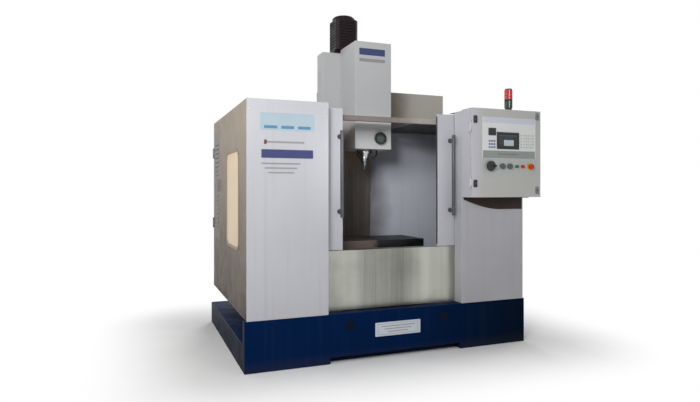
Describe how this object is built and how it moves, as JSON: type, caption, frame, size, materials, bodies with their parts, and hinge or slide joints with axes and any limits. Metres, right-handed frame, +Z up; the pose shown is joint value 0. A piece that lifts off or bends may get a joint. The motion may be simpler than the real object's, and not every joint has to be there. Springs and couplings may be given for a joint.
{
  "type": "cnc milling machine",
  "caption": "Enclosed vertical machining centre with sliding front doors, a slotted table on a saddle, a vertical spindle head and a hinged operator control box.",
  "frame": {"origin": "on the floor under the middle of the base pan and of the floor anchor holes", "axes": "+Z up, -Y towards the operator at the front doors, +X to the operator's right"},
  "size_m": [2.558, 1.986, 2.994],
  "materials": {
    "base_blue": "satin",
    "casting_grey": "matte",
    "cover_white": "satin",
    "side_beige": "satin",
    "liner_grey": "satin",
    "stainless": "brushed",
    "steel": "ground",
    "iron_table": "ground",
    "motor_dark": "satin",
    "cover_black": "satin",
    "belt": "matte",
    "bronze": "satin",
    "pane_cream": "gloss",
    "pane_clear": "gloss",
    "handle_dark": "satin",
    "panel_grey": "satin",
    "screen_black": "gloss",
    "knob_black": "matte",
    "button_red": "gloss",
    "button_green": "gloss",
    "lens": "gloss",
    "tank_plastic": "satin",
    "foot_steel": "satin"
  },
  "bodies": {
    "machine": {"base_pan": "base_blue", "bed": "casting_grey", "levelling_feet": "foot_steel", "column": "casting_grey", "guide_rails": "steel", "axis_servos": "motor_dark", "left_cover": "cover_white", "right_cover": "cover_white", "left_side_panel": "side_beige", "left_window": "pane_cream", "right_side_panel": "side_beige", "rear_wall": "liner_grey", "roof_panels": "liner_grey", "lower_panel": "stainless", "inner_front": "liner_grey", "header_rail": "steel", "rear_left_panel": "side_beige", "electrical_cabinet": "side_beige", "lube_unit": "tank_plastic", "control_box": "cover_white", "stack_post": "knob_black", "stack_lenses": "lens", "z_cover_low": "cover_black"},
    "saddle": {"saddle": "casting_grey", "x_rails": "steel", "x_servo": "motor_dark"},
    "x_screw": {"x_screw": "steel"},
    "table": {"table": "iron_table"},
    "y_screw": {"y_screw": "steel"},
    "z_screw": {"z_screw": "steel"},
    "head": {"head_casting": "casting_grey", "head_cover": "cover_white", "head_slide_cover": "cover_white", "spindle_motor": "motor_dark", "drive_belt": "belt", "spindle_cartridge": "steel", "work_lamp": "cover_black", "coolant_nozzles": "bronze", "z_cover_top": "cover_black"},
    "way_cover_middle": {"z_cover_mid": "cover_black"},
    "spindle": {"spindle_shaft": "steel", "tool_holder": "steel"},
    "motor_pulley": {"motor_pulley": "steel"},
    "door_left": {"door_left": "cover_white", "door_left_window": "pane_clear", "door_left_handle": "handle_dark"},
    "door_right": {"door_right": "cover_white", "door_right_window": "pane_clear", "door_right_handle": "handle_dark"},
    "control_panel": {"control_panel": "panel_grey", "screen": "screen_black"},
    "estop_button": {"estop_button": "button_red"},
    "start_button": {"start_button": "button_green"},
    "hold_button": {"hold_button": "button_red"},
    "mode_knob": {"mode_knob": "knob_black"},
    "feed_knob": {"feed_knob": "knob_black"},
    "handwheel": {"handwheel": "knob_black"},
    "electrical_door": {"electrical_door": "side_beige"},
    "isolator_handle": {"isolator_handle": "button_red"},
    "service_door": {"service_door": "side_beige"}
  },
  "joints": [
    {"name": "y_axis", "type": "slide", "parent": "machine", "child": "saddle", "axis": [0, 1, 0], "range_m": [-0.225, 0.225]},
    {"name": "x_axis", "type": "slide", "parent": "saddle", "child": "table", "axis": [1, 0, 0], "range_m": [-0.4, 0.4]},
    {"name": "z_axis", "type": "slide", "parent": "machine", "child": "head", "axis": [0, 0, 1], "range_m": [-0.54, 0]},
    {"name": "x_screw_turn", "type": "hinge", "parent": "saddle", "child": "x_screw", "pos_m": [0, -0.185, 0.706], "axis": [1, 0, 0], "range_deg": [-9005, 9005]},
    {"name": "y_screw_turn", "type": "hinge", "parent": "machine", "child": "y_screw", "pos_m": [0, -0.2, 0.57], "axis": [0, 1, 0], "range_deg": [-5068, 5068]},
    {"name": "z_screw_turn", "type": "hinge", "parent": "machine", "child": "z_screw", "pos_m": [0, 0.405, 1.5], "axis": [0, 0, 1], "range_deg": [-12155, 5]},
    {"name": "way_cover_slide", "type": "slide", "parent": "machine", "child": "way_cover_middle", "axis": [0, 0, 1], "range_m": [-0.27, 0]},
    {"name": "spindle_spin", "type": "hinge", "parent": "head", "child": "spindle", "pos_m": [0, -0.185, 1.7], "axis": [0, 0, 1], "continuous": true},
    {"name": "motor_spin", "type": "hinge", "parent": "head", "child": "motor_pulley", "pos_m": [-0.123, 0.04, 2.55], "axis": [0, 0, 1], "continuous": true},
    {"name": "door_left_slide", "type": "slide", "parent": "machine", "child": "door_left", "axis": [1, 0, 0], "range_m": [0, 0.436]},
    {"name": "door_right_slide", "type": "slide", "parent": "machine", "child": "door_right", "axis": [-1, 0, 0], "range_m": [0, 0.436]},
    {"name": "control_panel_hinge", "type": "hinge", "parent": "machine", "child": "control_panel", "pos_m": [0.592, -1.03, 1.65], "axis": [0, 0, -1], "range_deg": [0, 100]},
    {"name": "estop_press", "type": "slide", "parent": "control_panel", "child": "estop_button", "axis": [0, 1, 0], "range_m": [0, 0.006], "stiffness_N_per_m": 1500},
    {"name": "start_press", "type": "slide", "parent": "control_panel", "child": "start_button", "axis": [0, 1, 0], "range_m": [0, 0.004], "stiffness_N_per_m": 1000},
    {"name": "hold_press", "type": "slide", "parent": "control_panel", "child": "hold_button", "axis": [0, 1, 0], "range_m": [0, 0.004], "stiffness_N_per_m": 1000},
    {"name": "mode_turn", "type": "hinge", "parent": "control_panel", "child": "mode_knob", "pos_m": [0.9, -1.04, 1.549], "axis": [0, 1, 0], "range_deg": [-90, 90]},
    {"name": "feed_turn", "type": "hinge", "parent": "control_panel", "child": "feed_knob", "pos_m": [0.975, -1.04, 1.549], "axis": [0, 1, 0], "range_deg": [-135, 135]},
    {"name": "handwheel_turn", "type": "hinge", "parent": "control_panel", "child": "handwheel", "pos_m": [0.776, -1.04, 1.549], "axis": [0, 1, 0], "continuous": true},
    {"name": "electrical_door_hinge", "type": "hinge", "parent": "machine", "child": "electrical_door", "pos_m": [1.164, 0.82, 1.4], "axis": [0, 0, -1], "range_deg": [0, 110]},
    {"name": "isolator_turn", "type": "hinge", "parent": "electrical_door", "child": "isolator_handle", "pos_m": [0.535, 0.82, 1.5], "axis": [0, 1, 0], "range_deg": [0, 90]},
    {"name": "service_door_hinge", "type": "hinge", "parent": "machine", "child": "service_door", "pos_m": [-1.242, 0.8, 1.4], "axis": [0, 0, -1], "range_deg": [0, 110]}
  ],
  "couplings": [
    {"joint": "x_screw_turn", "follows": "x_axis", "rad_per_m": 392.7},
    {"joint": "y_screw_turn", "follows": "y_axis", "rad_per_m": 392.7},
    {"joint": "z_screw_turn", "follows": "z_axis", "rad_per_m": 392.7},
    {"joint": "way_cover_slide", "follows": "z_axis", "ratio": 0.5},
    {"joint": "motor_spin", "follows": "spindle_spin", "ratio": 1.25}
  ]
}
